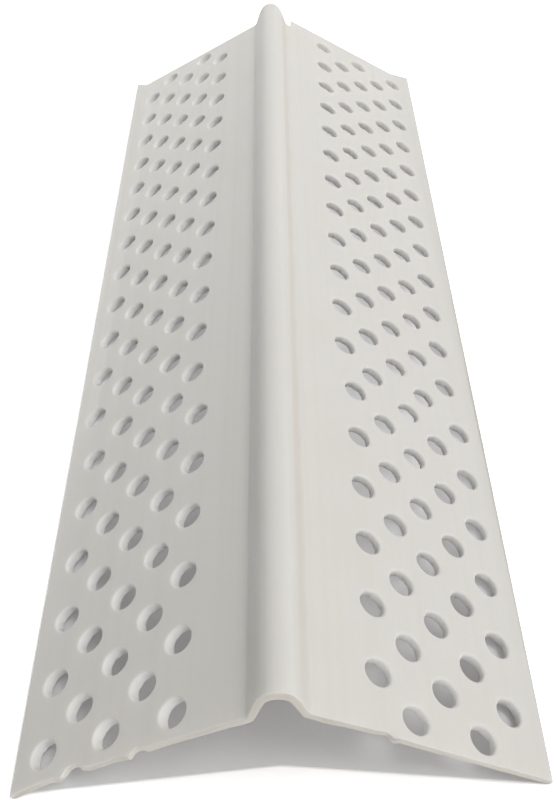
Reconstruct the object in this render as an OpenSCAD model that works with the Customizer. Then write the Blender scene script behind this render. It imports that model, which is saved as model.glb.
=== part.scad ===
// Corner bead for plasterboard: a short cut length of extruded vinyl angle.
// Two perforated flanges meet at a hollow rounded nose. X runs across, Y along the length with the
// near end at -Y, and Z up. The origin is on the floor under the middle of the piece, which stands
// like a tent on the long outer edges of its flanges.

/* [Flanges] */
// Length of the cut piece
length = 151.8; // [120:0.1:400]
// Width of a flange, from the line where the two outer faces would meet to its outer edge
flange_w = 32; // [27:0.25:50]
// Thickness of the flanges
wall = 0.85; // [0.7:0.05:1.4]
// Slope of each flange below level
droop = 30; // [20:0.5:42]
// Radius on the corners of the flanges' long outer edges
edge_r = 0.3; // [0.1:0.05:0.34]

/* [Nose] */
// Outer radius of the crown
crown_r = 1.95; // [1.7:0.05:3]
// Height of the crown above the line where the flanges' outer faces would meet
crown_h = 2.4; // [1.8:0.05:4]
// Slope of the nose's sides from upright
nose_draft = 22; // [8:1:26]
// Thickness of the nose's sides
nose_wall = 0.85; // [0.7:0.05:1.2]
// Thickness of the nose at the crown
crown_wall = 1.2; // [0.8:0.05:1.8]
// Radius of the outer fillets between the nose and the flanges
foot_r = 0.8; // [0.3:0.05:1.5]
// Radius of the rounded inner corners between the hollow and the flanges
lip_r = 0.4; // [0.1:0.05:0.6]

/* [Holes] */
// Diameter of the nail and keying holes
hole_d = 3.1; // [2:0.1:3.6]
// Columns of holes along each flange
columns = 5; // [1:1:5]
// Distance of the outermost column from the flange's outer edge
edge_column = 4.05; // [3:0.05:4.5]
// Spacing of the columns across a flange
column_pitch = 4.05; // [3.8:0.05:4.3]
// Spacing of the holes along a column
row_pitch = 8.25; // [7.6:0.05:12]

/* [Punching] */
// Rows that the die punches in one stroke
stroke_rows = 13; // [8:1:20]
// Distance from the near end to the joint between two strokes
stroke_joint = 50.4; // [20:0.1:100]
// Extra feed of the strip between two strokes
feed_gap = 0.2; // [0:0.05:1]
// Turn of the die out of line with the strip, which makes the columns drift sideways
die_slew = 0.61; // [0:0.01:1]
// Offset of the die to the left of the strip's middle
die_offset = 0.3; // [0:0.05:1]

/* [Ends] */
// Least bite out of the near end that a hole centred beyond it leaves
near_bite = 0.2; // [0.1:0.05:1]
// Strip beside the far end in which no hole is centred
far_land = 2.4; // [2.4:0.1:6]
// Depth of the slanting snip that trims the left flange and the nose
snip = 2.6; // [0.5:0.1:4]
// Tip left untrimmed at the outer corner of the left flange
snip_tip = 1.5; // [0.5:0.1:4]

/* [Hidden] */
$fn = 64;

// Overrun of cutting shapes past what they cut
over = 1;
// Directions: outward from a flange, and outward from a side of the nose, both on the right
flange_out = [sin(droop), cos(droop)];
side_out = [cos(nose_draft), sin(nose_draft)];
// Share of its radius at which a small fillet's centre stands off a face, so that no cut only grazes it
stand_off = 0.99;
// Direction midway between those two, and the share of a radius from a corner to its fillet's centre
corner_out = [cos((90 - droop + nose_draft) / 2), sin((90 - droop + nose_draft) / 2)];
corner_reach = stand_off / cos((90 - droop - nose_draft) / 2);

// Height of the line where the flanges' outer faces would meet
meet_z = (flange_w - edge_r) * sin(droop) + (wall - edge_r) * cos(droop) + edge_r;
// Half of the width over both flanges
half_w = flange_w * cos(droop);

// Crown, and the foot of the nose's right side on the flange's outer face
crown_c = [0, meet_z + crown_h - crown_r];
crown_end = crown_c + crown_r * side_out;
foot = side_meets_face(crown_end, meet_z);
// Hollow, and the foot of its right side on the flange's inner face
hollow_r = crown_r - (nose_wall - crown_wall * sin(nose_draft)) / (1 - sin(nose_draft));
hollow_c = [0, meet_z + crown_h - crown_wall - hollow_r];
hollow_end = hollow_c + hollow_r * side_out;
inner_meet_z = meet_z - wall / cos(droop);
lip = side_meets_face(hollow_end, inner_meet_z);

// Strokes of the die that reach the piece, counted from the joint
stroke_feed = stroke_rows * row_pitch + feed_gap;
first_stroke = -ceil(stroke_joint / stroke_feed);
last_stroke = ceil((length - stroke_joint) / stroke_feed) - 1;

// Point where a side of the nose that starts at a point meets a flange face that starts at a height
function side_meets_face(start, face_z) =
    let (drop = (start.y - face_z + start.x * tan(droop)) / (1 - tan(nose_draft) * tan(droop)))
    start + drop * [tan(nose_draft), -1];

// Place of a hole on the die, measured from its middle: every other column lies half a pitch further on
function on_die(side, column, row) =
    let (odd = (column + (side + 1) / 2) % 2)
    [
        side * (flange_w - edge_column - (columns - 1 - column) * column_pitch),
        row_pitch * (row + 1 / 4 + odd / 2) - stroke_feed / 2
    ];

// Place of a hole on the strip laid flat, once the die has been turned, offset and fed along
function on_strip(side, column, stroke, row) =
    let (place = on_die(side, column, row))
    [
        place.x * cos(die_slew) + place.y * sin(die_slew) - die_offset,
        place.y * cos(die_slew) - place.x * sin(die_slew)
            + stroke_joint - length / 2 + (stroke + 1 / 2) * stroke_feed
    ];

// The right flange's section, with small radii on its outer edge
module flange_section() {
    translate([0, meet_z])
    rotate(-droop) {
        translate([0, -wall])
        square([flange_w - edge_r, wall]);
        translate([flange_w / 2, edge_r - wall])
        square([flange_w / 2, wall - 2 * edge_r]);
        for (depth = [edge_r, wall - edge_r])
            translate([flange_w - edge_r, -depth])
            circle(edge_r);
    }
}

// The fillet between the nose's right side and the flange's outer face
module foot_fillet() {
    centre = foot + foot_r * corner_reach * corner_out;
    difference() {
        polygon([
            centre,
            centre - (foot_r + wall / 2) * side_out,
            foot - wall / 2 * corner_out,
            centre - (foot_r + wall / 2) * flange_out
        ]);
        translate(centre)
        circle(foot_r);
    }
}

// What is taken off the corner between the hollow's right side and the flange's inner face
module lip_round() {
    centre = lip + lip_r * corner_reach * corner_out;
    difference() {
        polygon([
            centre,
            centre - 1.5 * lip_r * side_out,
            lip - lip_r * corner_out,
            centre - 1.5 * lip_r * flange_out
        ]);
        translate(centre)
        circle(lip_r);
    }
}

// The nose before it is hollowed, with its sides run on into the flanges
module nose_section() {
    root = foot + wall / 2 * [tan(nose_draft), -1];
    translate(crown_c)
    circle(crown_r);
    polygon([
        [-crown_end.x, crown_end.y],
        [-root.x, root.y],
        root,
        crown_end
    ]);
}

// The hollow inside the nose, open below
module hollow_section() {
    below = lip + over * [tan(nose_draft), -1];
    translate(hollow_c)
    circle(hollow_r);
    polygon([
        [-hollow_end.x, hollow_end.y],
        [-below.x, below.y],
        below,
        hollow_end
    ]);
}

// A shape and its mirror image on the left
module both_sides() {
    children();
    mirror([1, 0])
    children();
}

module bead_section() {
    difference() {
        union() {
            both_sides() flange_section();
            both_sides() foot_fillet();
            nose_section();
        }
        hollow_section();
        both_sides() lip_round();
    }
}

// One hole, square to its flange; side is 1 on the right and -1 on the left
module hole(side, place) {
    translate([place.x * cos(droop), place.y, meet_z - abs(place.x) * sin(droop)])
    rotate([0, side * droop, 0])
    translate([0, 0, -wall / 2])
    cylinder(d = hole_d, h = wall + 2 * over, center = true);
}

// All holes of both flanges, staggered right across the strip
module holes() {
    for (side = [-1, 1], column = [0:columns - 1])
        for (stroke = [first_stroke:last_stroke], row = [0:stroke_rows - 1]) {
            place = on_strip(side, column, stroke, row);
            if (place.y > near_bite - (length + hole_d) / 2 && place.y < length / 2 - far_land)
                hole(side, place);
        }
}

// The slanting cut at the far end, from the left flange's tip across the nose
module far_snip() {
    end_y = length / 2;
    inner_x = foot.x + foot_r;
    linear_extrude(height = meet_z + crown_h + over)
    polygon([
        [snip_tip - half_w, end_y],
        [-inner_x, end_y - snip],
        [inner_x, end_y - snip],
        [inner_x, end_y + over],
        [snip_tip - half_w, end_y + over]
    ]);
}

module corner_bead() {
    color("ivory")
    difference() {
        rotate([90, 0, 0])
        linear_extrude(height = length, center = true)
        bead_section();
        holes();
        far_snip();
    }
}

corner_bead();
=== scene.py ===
import math
import bpy
from mathutils import Matrix, Vector


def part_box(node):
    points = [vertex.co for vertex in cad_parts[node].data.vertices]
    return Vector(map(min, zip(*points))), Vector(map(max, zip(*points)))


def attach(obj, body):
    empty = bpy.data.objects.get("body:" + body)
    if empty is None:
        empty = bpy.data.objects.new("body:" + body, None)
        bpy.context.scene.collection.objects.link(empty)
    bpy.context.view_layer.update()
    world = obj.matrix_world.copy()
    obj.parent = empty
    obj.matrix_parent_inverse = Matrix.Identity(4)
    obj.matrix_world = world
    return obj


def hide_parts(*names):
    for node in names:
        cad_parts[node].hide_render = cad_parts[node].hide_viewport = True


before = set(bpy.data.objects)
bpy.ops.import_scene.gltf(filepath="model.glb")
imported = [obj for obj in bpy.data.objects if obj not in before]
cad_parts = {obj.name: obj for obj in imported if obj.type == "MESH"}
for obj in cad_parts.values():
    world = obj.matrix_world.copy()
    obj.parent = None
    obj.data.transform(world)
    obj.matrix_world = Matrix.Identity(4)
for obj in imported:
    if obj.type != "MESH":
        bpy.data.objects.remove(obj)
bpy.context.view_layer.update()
scene = bpy.context.scene
scene.view_settings.view_transform = "Standard"
print("frame loaded", list(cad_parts))

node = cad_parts["corner_bead"]
low, high = (Vector(corner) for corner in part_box("corner_bead"))
mm = 0.001
droop = math.radians(30)  # slope of each flange


# camera

cameraSetup = {
    "place": (1.473 * mm, -124.888 * mm, 101.654 * mm),
    "tilt": 46.378,  # degrees up from straight down
    "heading": 0.655,  # degrees to the left of the bead's length
    "roll": -1.749,
    "focalPixels": 1034.66,
    "imageHeight": 800,
    "sensorHeight": 36.0,
    "clip": (0.005, 50),  # metres
}


def addCamera(setup):
    data = bpy.data.cameras.new("camera")
    camera = bpy.data.objects.new("camera", data)
    scene.collection.objects.link(camera)
    data.sensor_fit = "VERTICAL"
    data.sensor_height = setup["sensorHeight"]
    data.lens = setup["focalPixels"] * setup["sensorHeight"] / setup["imageHeight"]
    data.clip_start, data.clip_end = setup["clip"]
    turn = Matrix.Rotation(math.radians(setup["heading"]), 4, "Z")
    tilt = Matrix.Rotation(math.radians(setup["tilt"]), 4, "X")
    roll = Matrix.Rotation(math.radians(setup["roll"]), 4, "Z")
    camera.matrix_world = Matrix.Translation(setup["place"]) @ turn @ tilt @ roll
    scene.camera = camera


addCamera(cameraSetup)
print("camera placed")


# small helpers for node trees

def addNode(tree, kind, **options):
    made = tree.nodes.new("ShaderNode" + kind)
    for name, value in options.items():
        setattr(made, name, value)
    return made


def addMath(tree, operation, *values):
    made = addNode(tree, "Math", operation=operation)
    for socket, value in zip(made.inputs, values):
        if isinstance(value, (int, float)):
            socket.default_value = value
        else:
            tree.links.new(value, socket)
    return made.outputs["Value"]


def addRange(tree, value, start, end, first=0.0, last=1.0):
    made = addNode(tree, "MapRange", interpolation_type="SMOOTHSTEP")
    tree.links.new(value, made.inputs["Value"])
    made.inputs["From Min"].default_value = start
    made.inputs["From Max"].default_value = end
    made.inputs["To Min"].default_value = first
    made.inputs["To Max"].default_value = last
    return made.outputs["Result"]


def addMix(tree, factor, first, second):
    made = addNode(tree, "Mix", data_type="RGBA")
    for index, value in ((0, factor), (6, first), (7, second)):  # the colour sockets of a Mix node
        socket = made.inputs[index]
        if isinstance(value, (int, float, tuple)):
            socket.default_value = value
        else:
            tree.links.new(value, socket)
    return made.outputs[2]


# 1 where the background is looked at, straight or in a reflection, and 0 where it lights the bead
def addSeen(tree):
    path = addNode(tree, "LightPath")
    seen = addMath(tree, "MAXIMUM", path.outputs["Is Camera Ray"], path.outputs["Is Glossy Ray"])
    return addMath(tree, "MAXIMUM", seen, path.outputs["Is Transmission Ray"])


# light

lightSetup = {
    "key": {"strength": 0.7, "angle": 22.0, "right": 22.0, "front": 14.0, "colour": (1.0, 0.99, 0.985)},
    "softKey": {"strength": 0.6, "angle": 80.0, "right": 20.0, "front": 12.0, "colour": (1.0, 0.99, 0.985)},
    "frontFill": {"strength": 0.36, "angle": 50.0, "right": 0.0, "front": 48.0, "colour": (1.0, 1.0, 1.0)},
    "window": {
        "place": (-150 * mm, 170 * mm, 150 * mm),
        "size": 160 * mm,
        "power": 0.15,
        "colour": (1.0, 1.0, 1.0),
    },
    "softbox": {"right": 52.0, "strength": 0.62, "colour": (1.0, 0.995, 0.985, 1)},
}


def addSun(name, setup):
    lamp = bpy.data.lights.new(name, "SUN")
    lamp.energy = setup["strength"]
    lamp.angle = math.radians(setup["angle"])  # width of the lamp as the bead sees it
    lamp.color = setup["colour"]
    light = bpy.data.objects.new(name, lamp)
    scene.collection.objects.link(light)
    light.rotation_euler = (math.radians(setup["front"]), math.radians(setup["right"]), 0)


def addWindow(name, setup):
    lamp = bpy.data.lights.new(name, "AREA")
    lamp.energy = setup["power"]
    lamp.size = setup["size"]
    lamp.color = setup["colour"]
    light = bpy.data.objects.new(name, lamp)
    scene.collection.objects.link(light)
    light.location = setup["place"]
    light.rotation_euler = (-Vector(setup["place"])).to_track_quat("-Z", "Y").to_euler()


# a wide soft light from the upper right that dims evenly towards the lower left, and looks plain white
def setWorld(setup):
    world = bpy.data.worlds.new("studio")
    scene.world = world
    world.use_nodes = True
    tree = world.node_tree
    background = tree.nodes["Background"]
    towards = addNode(tree, "VectorMath", operation="DOT_PRODUCT")
    tree.links.new(addNode(tree, "TexCoord").outputs["Generated"], towards.inputs[0])
    lean = math.radians(setup["right"])
    towards.inputs[1].default_value = (math.sin(lean), 0, math.cos(lean))
    share = addMath(tree, "MAXIMUM", towards.outputs["Value"], 0.0)
    brightness = addMath(tree, "MULTIPLY", share, setup["strength"])
    tree.links.new(addMath(tree, "MAXIMUM", brightness, addSeen(tree)), background.inputs["Strength"])
    background.inputs["Color"].default_value = setup["colour"]


addSun("keyLight", lightSetup["key"])
addSun("softKeyLight", lightSetup["softKey"])
addSun("frontFillLight", lightSetup["frontFill"])
addWindow("windowLight", lightSetup["window"])
setWorld(lightSetup["softbox"])
print("light set")


# floor: pale under the bead, and seen as plain white around it; where the white stops under the near arch
# is a painted shadow edge

floorSetup = {
    "size": 6.0,  # metres
    "pale": (0.95, 0.95, 0.95, 1),  # as it lights the bead
    "seenPale": (0.8, 0.8, 0.81, 1),  # under the bead, as the camera sees it
    "seenWhite": (1.5, 1.5, 1.5, 1),  # around it
    "softness": 0.2 * mm,  # of the line between the two
    "mouthDip": 2.6 * mm,  # how far the white reaches in under the near arch, painted along the edge of the bead's shadow there
    "tailReach": 24 * mm,  # how far behind the far end the holes still look onto the pale floor
    "tailSoftness": 11 * mm,
    "paintedUnderLight": (0.04, 0.32),  # painted light: a glow seen only by the camera, standing in for light the thin vinyl lets through, at the mouth and deep inside
    "mouthReach": 60 * mm,  # from the mouth to where that light is full
    "paintedUnderLightBySide": (0.85, 1.38),  # share of that painted glow on the left, and on the better lit right
}


def floorMaterial(setup):
    material = bpy.data.materials.new("paleFloor")
    material.use_nodes = True
    tree = material.node_tree
    tree.nodes.clear()
    place = addNode(tree, "SeparateXYZ")
    tree.links.new(addNode(tree, "TexCoord").outputs["Object"], place.inputs["Vector"])
    aside = addMath(tree, "ABSOLUTE", place.outputs["X"])
    dip = addMath(tree, "MULTIPLY_ADD", aside, setup["mouthDip"] / high.x, -low.y - setup["mouthDip"])
    ahead = addMath(tree, "ADD", place.outputs["Y"], dip)
    beside = addRange(tree, aside, high.x - setup["softness"], high.x + setup["softness"])
    before = addRange(tree, ahead, setup["softness"], -setup["softness"])
    tail = addMath(tree, "MULTIPLY_ADD", aside, setup["tailReach"] / high.x, -high.y - setup["tailReach"])
    past = addMath(tree, "ADD", place.outputs["Y"], tail)
    behind = addRange(tree, past, -setup["tailSoftness"], setup["tailSoftness"])
    around = addMath(tree, "MAXIMUM", beside, addMath(tree, "MAXIMUM", before, behind))
    seen = addSeen(tree)
    colour = addMix(tree, seen, setup["pale"], addMix(tree, around, setup["seenPale"], setup["seenWhite"]))
    diffuse = addNode(tree, "BsdfDiffuse")
    tree.links.new(colour, diffuse.inputs["Color"])
    # painted light: a glow that only the camera and reflections see, which lifts the shade on the floor
    # under the bead
    paintedGlow = addNode(tree, "Emission")
    paintedGlow.inputs["Color"].default_value = setup["seenPale"]
    through = addRange(tree, place.outputs["Y"], low.y, low.y + setup["mouthReach"], *setup["paintedUnderLight"])
    bySide = addRange(tree, place.outputs["X"], low.x / 2, high.x / 2, *setup["paintedUnderLightBySide"])
    through = addMath(tree, "MULTIPLY", through, bySide)
    tree.links.new(addMath(tree, "MULTIPLY", seen, through), paintedGlow.inputs["Strength"])
    both = addNode(tree, "AddShader")
    tree.links.new(diffuse.outputs["BSDF"], both.inputs[0])
    tree.links.new(paintedGlow.outputs["Emission"], both.inputs[1])
    tree.links.new(both.outputs["Shader"], addNode(tree, "OutputMaterial").inputs["Surface"])
    return material


def addFloor(setup):
    bpy.ops.object.select_all(action="DESELECT")
    bpy.ops.mesh.primitive_plane_add(size=setup["size"], location=(0, 0, 0))
    floor = bpy.context.object
    floor.name = "floor"
    floor.data.materials.append(floorMaterial(setup))


addFloor(floorSetup)
print("floor laid")


# vinyl

vinylSetup = {
    "colour": (0.77, 0.76, 0.725, 1),
    "streakColour": (0.75, 0.73, 0.69, 1),
    "cutColour": (0.76, 0.73, 0.665, 1),
    "paintedWallLightColour": (0.84, 0.832, 0.805, 1),  # painted light: the walls of the holes are paler than the vinyl, standing in for the light they catch
    "paintedWallLightZone": (7 * mm, 26 * mm),  # across each flange, from the middle
    "paintedWallLightTurn": (0.9, 0.5),  # cosine of a face's turn from its flange, where it starts and is full
    "tanColour": (0.65, 0.58, 0.47, 1),
    "tanLine": {"place": 2.5 * mm, "core": 0.12 * mm, "width": 0.6 * mm, "amount": 0.32},
    "tanPatches": {"span": (0.25, 0.6), "least": 0.6},  # span: the part of a noise that is used
    "lines": {"scale": (1100, 5, 1100), "detail": 3.0, "span": (0.35, 0.8), "amount": 0.55},
    "clouds": {"scale": 70.0, "detail": 4.0, "span": (0.4, 0.8), "amount": 0.5},
    "cutZone": (3.0 * mm, 1.5 * mm),  # from the ends, where the beige starts and is full
    "cutTurn": (0.35, 0.8),  # and how far a face looks along the length there
    "roughness": (0.5, 0.62),
    "roughSpan": (0.3, 0.75),
    "specular": 0.2,
    "refraction": 1.53,
    "bump": 0.05,
    "bumpDepth": 0.05 * mm,
    "glow": (1.0, 1.0, 0.95),  # thin vinyl lets some light through
    "glowDepth": 0.9 * mm,
}


def vinylMaterial(setup):
    material = bpy.data.materials.new("vinyl")
    material.use_nodes = True
    tree = material.node_tree
    shader = tree.nodes["Principled BSDF"]
    shader.inputs["Specular IOR Level"].default_value = setup["specular"]
    shader.inputs["IOR"].default_value = setup["refraction"]
    shader.inputs["Subsurface Weight"].default_value = 1.0
    shader.inputs["Subsurface Radius"].default_value = setup["glow"]
    shader.inputs["Subsurface Scale"].default_value = setup["glowDepth"]
    coords = addNode(tree, "TexCoord").outputs["Object"]

    # faint lines that the die drew along the length
    along = addNode(tree, "Mapping")
    along.inputs["Scale"].default_value = setup["lines"]["scale"]
    tree.links.new(coords, along.inputs["Vector"])
    lines = addNode(tree, "TexNoise")
    lines.inputs["Scale"].default_value = 1.0
    lines.inputs["Detail"].default_value = setup["lines"]["detail"]
    tree.links.new(along.outputs["Vector"], lines.inputs["Vector"])

    # slow clouding of the surface
    clouds = addNode(tree, "TexNoise")
    clouds.inputs["Scale"].default_value = setup["clouds"]["scale"]
    clouds.inputs["Detail"].default_value = setup["clouds"]["detail"]
    tree.links.new(coords, clouds.inputs["Vector"])

    streaky = addRange(tree, lines.outputs["Fac"], *setup["lines"]["span"], 0.0, setup["lines"]["amount"])
    colour = addMix(tree, streaky, setup["colour"], setup["streakColour"])
    cloudy = addRange(tree, clouds.outputs["Fac"], *setup["clouds"]["span"], 0.0, setup["clouds"]["amount"])
    colour = addMix(tree, cloudy, colour, setup["streakColour"])

    # a faint tan line along the right foot of the nose, weaker in places
    place = addNode(tree, "SeparateXYZ")
    tree.links.new(coords, place.inputs["Vector"])
    line = setup["tanLine"]
    away = addMath(tree, "ABSOLUTE", addMath(tree, "SUBTRACT", place.outputs["X"], line["place"]))
    inLine = addRange(tree, away, line["core"], line["width"], line["amount"], 0.0)
    patches = setup["tanPatches"]
    patchy = addRange(tree, clouds.outputs["Fac"], *patches["span"], patches["least"], 1.0)
    colour = addMix(tree, addMath(tree, "MULTIPLY", inLine, patchy), colour, setup["tanColour"])

    # painted light: walls in the holes made paler, where a face turns away from its flange
    facing = addNode(tree, "SeparateXYZ")
    tree.links.new(addNode(tree, "NewGeometry").outputs["Normal"], facing.inputs["Vector"])
    outwards = addMath(tree, "MULTIPLY", facing.outputs["X"], addMath(tree, "SIGN", place.outputs["X"]))
    upwards = addMath(tree, "MULTIPLY", facing.outputs["Z"], math.cos(droop))
    withFlange = addMath(tree, "MULTIPLY_ADD", outwards, math.sin(droop), upwards)
    withFlange = addMath(tree, "ABSOLUTE", withFlange)
    inner, outer = setup["paintedWallLightZone"]
    aside = addMath(tree, "ABSOLUTE", place.outputs["X"])
    inZone = addMath(tree, "COMPARE", aside, (inner + outer) / 2, (outer - inner) / 2)
    paintedWallLight = addMath(tree, "MULTIPLY", addRange(tree, withFlange, *setup["paintedWallLightTurn"]), inZone)
    colour = addMix(tree, paintedWallLight, colour, setup["paintedWallLightColour"])

    # beige on the cut ends
    toEnd = addRange(tree, addMath(tree, "ABSOLUTE", facing.outputs["Y"]), *setup["cutTurn"])
    fromMiddle = addMath(tree, "ABSOLUTE", place.outputs["Y"])
    nearEnd = addRange(tree, fromMiddle, *(high.y - reach for reach in setup["cutZone"]))
    colour = addMix(tree, addMath(tree, "MULTIPLY", toEnd, nearEnd), colour, setup["cutColour"])

    tree.links.new(colour, shader.inputs["Base Color"])
    rough = addRange(tree, lines.outputs["Fac"], *setup["roughSpan"], *setup["roughness"])
    tree.links.new(rough, shader.inputs["Roughness"])
    bump = addNode(tree, "Bump")
    bump.inputs["Strength"].default_value = setup["bump"]
    bump.inputs["Distance"].default_value = setup["bumpDepth"]
    tree.links.new(lines.outputs["Fac"], bump.inputs["Height"])
    tree.links.new(bump.outputs["Normal"], shader.inputs["Normal"])
    return material


# bead: the solid's shape with soft rims and a hand-cut near end

beadSetup = {
    "merge": 0.001 * mm,  # points closer than this are one
    "flatness": 0.002 * mm,  # points closer than this to a flat lie on it
    "flatCosine": 0.9999,  # least cosine between the normals of faces in one flat
    "flatAngle": 0.5,  # degrees between faces that are joined to one
    "sharp": 40.0,  # degrees from which an edge counts as sharp
    "wall": 0.85 * mm,
    # columns of holes on each flange, from the middle of the die
    "columns": [11.75 * mm, 15.8 * mm, 19.85 * mm, 23.9 * mm, 27.95 * mm],
    "slew": 0.61,  # turn of the columns in degrees
    "shift": -0.3 * mm,
    "joint": 50.4 * mm,  # from the near end to where the die starts again
    "feed": 107.45 * mm,  # of the strip between two strokes of the die
    "holeZone": (7 * mm, 1.5 * mm),  # clear of the middle and of the long outer edges
    "rim": 0.3 * mm,  # rounding of the holes' upper rims
    "lowerRim": 0.22 * mm,  # and of their lower rims
    "rimSteps": 4,
    "rimEdge": 0.6 * mm,  # edges around a hole are shorter
    "roundEdge": 0.3 * mm,  # and those of a rounded rim shorter still
    "dull": 0.12 * mm,  # rounding of every other sharp edge
    "dullSteps": 2,
    "noseDraft": 22.0,  # slope of the nose's sides in degrees from upright
    "noseZone": 5 * mm,  # height of the nose, down from its crown
    "noseCosine": 0.9995,  # least cosine between the normals of faces in one side
    "noseBulge": 0.32 * mm,  # the nose's sides are a little rounder than the plain section
    # levels up a side of the nose, and the share of the bulge there
    "noseSwell": [(0.85, 0.35), (0.68, 0.8), (0.5, 1.0), (0.32, 0.85), (0.15, 0.45)],
    "collar": 0.4 * mm,  # the punch also drew the lower rims down
    "lean": {-1: 0.28 * mm, 1: 0.0},  # and, on the left flange, towards the nose
    "ragged": {"strength": 0.24 * mm, "size": 0.5 * mm},
    "cutBand": 0.7 * mm,  # strip along an end that belongs to the cut
    "cutEdge": 1.5 * mm,  # longer edges of the near cut get new points
    "cutPoints": 14,
    "wave": {"strength": 0.14 * mm, "size": 1.6 * mm},
    "nudgeBand": 1.4 * mm,  # strip along the near cut that the nudges can move
    "nudgeCore": 0.2 * mm,  # points this close to a nudge's place take all of it
    # dents and nubs of the near cut: place across, reach, and shift along
    "nudges": [
        (-27.6 * mm, 4.0 * mm, -0.45 * mm),
        (-22.1 * mm, 0.6 * mm, -0.25 * mm),
        (-20.4 * mm, 1.8 * mm, 0.4 * mm),
        (-14.6 * mm, 0.6 * mm, -0.25 * mm),
        (-6.0 * mm, 6.0 * mm, -0.15 * mm),
        (-3.0 * mm, 2.6 * mm, -0.3 * mm),
        (0.0, 2.6 * mm, -0.2 * mm),
        (8.6 * mm, 5.0 * mm, 0.2 * mm),
        (10.0 * mm, 1.2 * mm, 0.2 * mm),
        (10.9 * mm, 0.6 * mm, -0.25 * mm),
    ],
    # far corners, left and right, that the snips turned up
    "burrs": [
        (-1, (-0.45 * mm, 0.2 * mm, 0.8 * mm)),
        (1, (0.3 * mm, 0.2 * mm, 0.7 * mm)),
    ],
    "burrTip": (0.5 * mm, 0.2 * mm),  # across and along
    "burrReach": 1.0 * mm,
}


def takeCopy(source, name):
    piece = bpy.data.objects.new(name, source.data.copy())
    scene.collection.objects.link(piece)
    bpy.ops.object.select_all(action="DESELECT")
    piece.select_set(True)
    bpy.context.view_layer.objects.active = piece
    return piece


def startSelection(kind):
    bpy.ops.object.mode_set(mode="EDIT")
    bpy.ops.mesh.select_mode(type=kind)
    bpy.ops.mesh.select_all(action="DESELECT")
    bpy.ops.object.mode_set(mode="OBJECT")


def selectVerts(piece, test):
    startSelection("VERT")
    for vertex in piece.data.vertices:
        vertex.select = test(vertex.co)
    bpy.ops.object.mode_set(mode="EDIT")


def selectEdges(piece, test):
    startSelection("EDGE")
    points = [vertex.co for vertex in piece.data.vertices]
    for edge in piece.data.edges:
        edge.select = test(*(points[i] for i in edge.vertices))
    bpy.ops.object.mode_set(mode="EDIT")


def selectFaces(piece, test):
    startSelection("FACE")
    for face in piece.data.polygons:
        face.select = test(face.center, face.normal)
    bpy.ops.object.mode_set(mode="EDIT")


def selectSharp(setup):
    startSelection("EDGE")
    bpy.ops.object.mode_set(mode="EDIT")
    bpy.ops.mesh.edges_select_sharp(sharpness=math.radians(setup["sharp"]))


# of the selected edges, keep the short ones that turn a corner, which are the rims of the holes
def keepRims(piece, setup):
    bpy.ops.object.mode_set(mode="OBJECT")
    wanted = {edge.index for edge in piece.data.edges if edge.select}
    selectSharp(setup)
    bpy.ops.object.mode_set(mode="OBJECT")
    wanted &= {edge.index for edge in piece.data.edges if edge.select}
    startSelection("EDGE")
    points = [vertex.co for vertex in piece.data.vertices]
    for index in wanted:
        first, last = (points[i] for i in piece.data.edges[index].vertices)
        inside = min(first.y, last.y) > low.y + setup["cutBand"]  # not the bites out of the near cut
        piece.data.edges[index].select = inside and (first - last).length < setup["rimEdge"]
    bpy.ops.object.mode_set(mode="EDIT")


def acrossFlange(side):
    return Vector((math.cos(droop), 0, -side * math.sin(droop)))


# the upper faces of both flanges: a direction square to each, and how far out it lies
def upperFlats(piece):
    flats = []
    for side in (-1, 1):
        out = Vector((side * math.sin(droop), 0, math.cos(droop)))
        outerHalf = [v.co for v in piece.data.vertices if side * v.co.x > high.x / 2]
        flats.append((side, out, max(point.dot(out) for point in outerHalf)))
    return flats


def isEdgeOf(flat, ends, setup):
    side, out, level = flat
    return all(side * end.x > 0 and abs(end.dot(out) - level) < setup["flatness"] for end in ends)


# score the flats through the middles of the holes, so that each flat becomes plain strips
def scoreColumns(piece, setup):
    slew = math.radians(setup["slew"])
    along = Vector((0, 1, 0))
    joint = along * (low.y + setup["joint"])
    for side, out, level in upperFlats(piece):
        top = Vector((0, 0, level / math.cos(droop)))  # where the outer faces of both flanges would meet
        across = acrossFlange(side)
        columnOut = across * math.cos(slew) - along * math.sin(slew)
        rowOut = across * math.sin(slew) + along * math.cos(slew)
        start = top + joint + across * setup["shift"]

        def score(point, direction, test):
            def onStrip(centre, normal):
                isFlat = abs(normal.dot(out)) > setup["flatCosine"]
                return side * centre.x > 0 and isFlat and test(rowOut.dot(centre - start))

            selectFaces(piece, onStrip)
            bpy.ops.mesh.bisect(plane_co=point, plane_no=direction, threshold=setup["merge"])
            bpy.ops.mesh.mark_seam(clear=False)

        score(start, rowOut, lambda y: True)
        for step in (-0.5, 0.5):
            middle = start + along * step * setup["feed"]
            for column in setup["columns"]:
                score(middle + columnOut * side * column, columnOut, lambda y: y * step > 0)
    bpy.ops.mesh.select_all(action="SELECT")
    bpy.ops.mesh.dissolve_limited(angle_limit=math.radians(setup["flatAngle"]), delimit={"SEAM"})
    bpy.ops.mesh.select_all(action="SELECT")
    bpy.ops.mesh.mark_seam(clear=True)
    bpy.ops.object.mode_set(mode="OBJECT")


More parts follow.
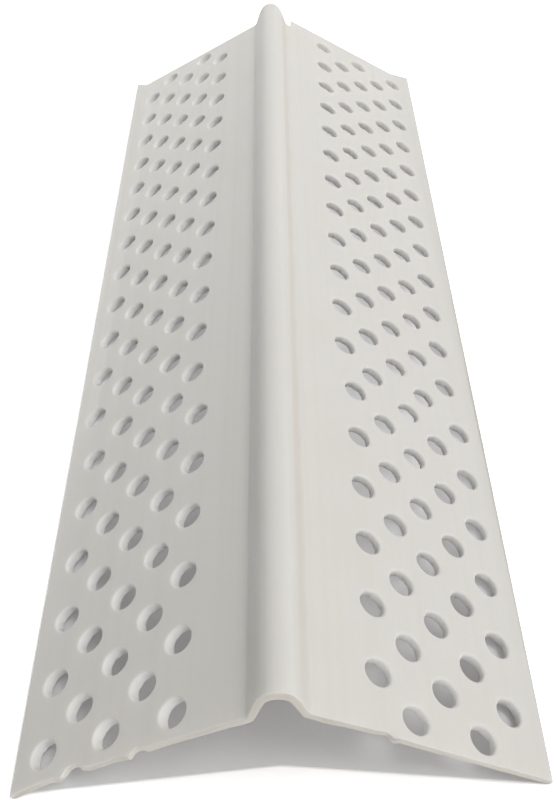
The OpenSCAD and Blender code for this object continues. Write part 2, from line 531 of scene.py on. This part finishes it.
# swell both sides of the nose between crown and foot
def roundNose(piece, setup):
    draft = math.radians(setup["noseDraft"])
    for side in (-1, 1):
        out = Vector((side * math.cos(draft), 0, math.sin(draft)))

        def onSide(centre, normal):
            onNose = centre.z > high.z - setup["noseZone"]
            return side * centre.x > 0 and onNose and normal.dot(out) > setup["noseCosine"]

        faces = [face for face in piece.data.polygons if onSide(face.center, face.normal)]
        heights = [piece.data.vertices[i].co.z for face in faces for i in face.vertices]
        bottom, top = min(heights), max(heights)
        for height, swell in setup["noseSwell"]:
            level = bottom + height * (top - bottom)
            selectFaces(piece, onSide)
            bpy.ops.mesh.bisect(plane_co=(0, 0, level), plane_no=(0, 0, 1), threshold=setup["merge"])
            bpy.ops.transform.translate(value=out * swell * setup["noseBulge"])


# move some points by a fine noise
def shake(piece, name, points, setup, direction):
    group = piece.vertex_groups.new(name=name)
    group.add(points, 1.0, "REPLACE")
    noise = bpy.data.textures.new(name, "CLOUDS")
    noise.noise_scale = setup["size"]
    noise.cloud_type = "COLOR"
    displace = piece.modifiers.new(name, "DISPLACE")
    displace.texture = noise
    displace.texture_coords = "LOCAL"
    displace.direction = direction
    displace.strength = setup["strength"]
    displace.mid_level = 0.5
    displace.vertex_group = name
    bpy.ops.object.modifier_apply(modifier=name)


# draw the lower rims of the holes down into short ragged collars
def drawCollars(piece, setup):
    points = [vertex.co.copy() for vertex in piece.data.vertices]
    close = set()
    for edge in piece.data.edges:
        first, last = edge.vertices
        if (points[first] - points[last]).length < setup["roundEdge"]:
            close |= {first, last}
    inner, outer = setup["holeZone"]
    end = high.y - setup["cutBand"]
    rims = []
    for side, out, level in upperFlats(piece):
        beside = [i for i in close if inner < side * points[i].x < high.x - outer]
        depths = {i: level - points[i].dot(out) for i in beside if abs(points[i].y) < end}
        rimTop = setup["wall"] - 1.1 * setup["lowerRim"]  # a little above the rounding
        rimEnd = setup["wall"] - setup["flatness"]
        rim = [i for i, depth in depths.items() if rimTop < depth < rimEnd]
        startSelection("VERT")
        for i in rim:
            piece.data.vertices[i].select = True
        bpy.ops.object.mode_set(mode="EDIT")
        bpy.ops.transform.translate(value=acrossFlange(side) * setup["lean"][side] - out * setup["collar"])
        bpy.ops.object.mode_set(mode="OBJECT")
        rims += rim
    shake(piece, "lowerRims", rims, setup["ragged"], "RGB_TO_XYZ")


# shift the near cut at the listed places, with the far part of the bead out of reach, then turn up the far
# corners
def nudgeCut(piece, setup):
    selectVerts(piece, lambda p: p.y < low.y + setup["nudgeBand"])
    bpy.ops.mesh.hide(unselected=True)
    cutLine = low.y + setup["cutBand"]
    for across, reach, shift in setup["nudges"]:
        selectVerts(piece, lambda p: p.y < cutLine and abs(p.x - across) < setup["nudgeCore"])
        bpy.ops.transform.translate(
            value=(0, shift, 0),
            use_proportional_edit=True,
            proportional_size=reach,
            proportional_edit_falloff="SMOOTH",
        )
    bpy.ops.mesh.reveal(select=False)
    tipWidth, tipLength = setup["burrTip"]
    for side, shift in setup["burrs"]:
        selectVerts(piece, lambda p: p.y > high.y - tipLength and side * p.x > high.x - tipWidth)
        bpy.ops.transform.translate(
            value=shift,
            use_proportional_edit=True,
            proportional_size=setup["burrReach"],
            proportional_edit_falloff="SHARP",
            use_proportional_connected=True,
        )
    bpy.ops.object.mode_set(mode="OBJECT")


# round the selected edges
def roundEdges(radius, steps):
    bpy.ops.mesh.bevel(offset=radius, segments=steps, profile=0.5, affect="EDGES", clamp_overlap=False)


def makeBead(setup):
    piece = takeCopy(node, "vinyl_bead")
    bpy.ops.object.mode_set(mode="EDIT")
    bpy.ops.mesh.select_all(action="SELECT")
    bpy.ops.mesh.remove_doubles(threshold=setup["merge"])
    bpy.ops.object.mode_set(mode="OBJECT")
    scoreColumns(piece, setup)
    roundNose(piece, setup)

    # soft rounds on the rims of the holes, and every other sharp edge only dulled
    uppers = upperFlats(piece)
    lowers = [(side, out, level - setup["wall"]) for side, out, level in uppers]
    for flats, radius in ((uppers, setup["rim"]), (lowers, setup["lowerRim"])):
        selectEdges(piece, lambda *ends: any(isEdgeOf(flat, ends, setup) for flat in flats))
        keepRims(piece, setup)
        roundEdges(radius, setup["rimSteps"])
    selectSharp(setup)
    roundEdges(setup["dull"], setup["dullSteps"])

    # more points along the near cut, moved a little by a slow wave
    atCut = low.y + 1.5 * setup["dull"]  # just past the dulled edges
    selectEdges(piece, lambda a, b: a.y < atCut and b.y < atCut and (a - b).length > setup["cutEdge"])
    bpy.ops.mesh.subdivide(number_cuts=setup["cutPoints"])
    bpy.ops.object.mode_set(mode="OBJECT")
    cutEnd = [v.index for v in piece.data.vertices if v.co.y < atCut]
    shake(piece, "nearCut", cutEnd, setup["wave"], "Y")
    drawCollars(piece, setup)
    nudgeCut(piece, setup)

    bpy.ops.object.shade_smooth()
    normals = piece.modifiers.new("flatNormals", "WEIGHTED_NORMAL")
    normals.keep_sharp = True
    bpy.ops.object.modifier_apply(modifier="flatNormals")
    piece.data.materials.clear()
    piece.data.materials.append(vinylMaterial(vinylSetup))
    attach(piece, "root")
    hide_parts("corner_bead")
    return piece


bead = makeBead(beadSetup)
print("bead made", len(bead.data.polygons), "faces")
